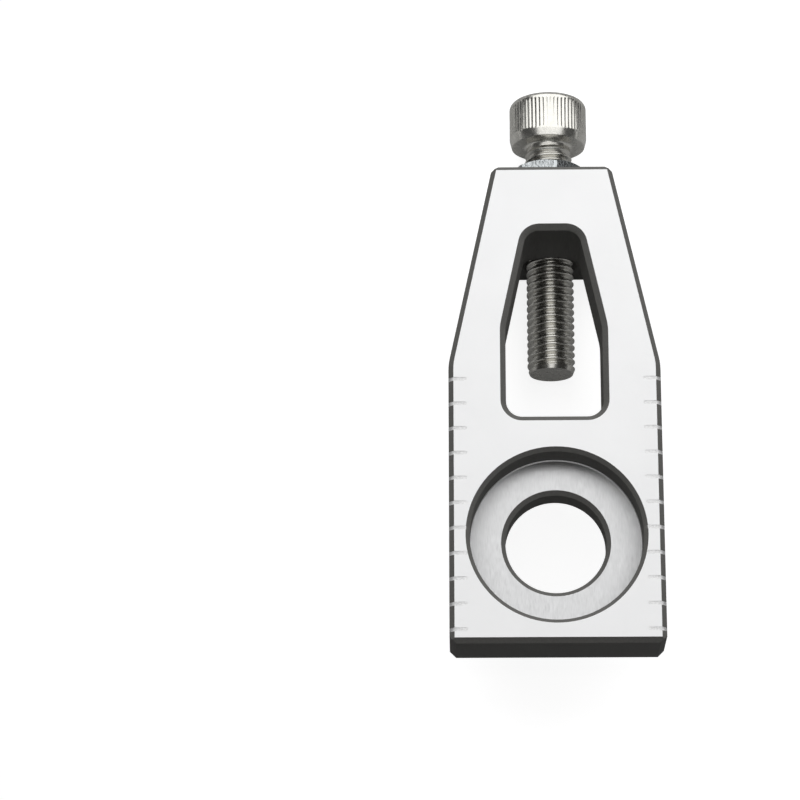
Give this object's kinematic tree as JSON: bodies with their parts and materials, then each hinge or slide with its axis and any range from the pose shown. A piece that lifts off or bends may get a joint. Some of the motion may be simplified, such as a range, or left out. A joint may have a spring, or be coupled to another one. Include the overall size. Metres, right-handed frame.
{
  "type": "motorcycle chain adjuster",
  "caption": "Machined chain adjuster block with an axle bore in a round seat, a tapered window, engraved scale marks and a lug that carries a push screw with its lock nut.",
  "frame": {"origin": "on the axle bore's axis, in the plane of the block's back face", "axes": "+Z out of the block's front face along the axle, +Y along the block towards the screw's head, +X to the right seen from the front"},
  "size_m": [0.034, 0.0985, 0.0251],
  "materials": {
    "block_aluminium": "matte silver face, dark grey anodised edges and walls",
    "screw_steel": "bright stainless",
    "nut_zinc": "bluish zinc plate"
  },
  "bodies": {
    "adjuster_block": {"adjuster_block": "block_aluminium"},
    "lock_nut": {"lock_nut": "nut_zinc"},
    "adjusting_screw": {"adjusting_screw": "screw_steel"}
  },
  "joints": [
    {"name": "screw_feed", "type": "slide", "parent": "adjuster_block", "child": "lock_nut", "axis": [0, 1, 0], "range_m": [0, 0.015]},
    {"name": "screw_turn", "type": "hinge", "parent": "lock_nut", "child": "adjusting_screw", "pos_m": [0, 0.0625, -0.0075], "axis": [0, 1, 0], "range_deg": [0, 4320]}
  ],
  "couplings": [
    {"joint": "screw_turn", "follows": "screw_feed", "rad_per_m": 5026.5}
  ]
}
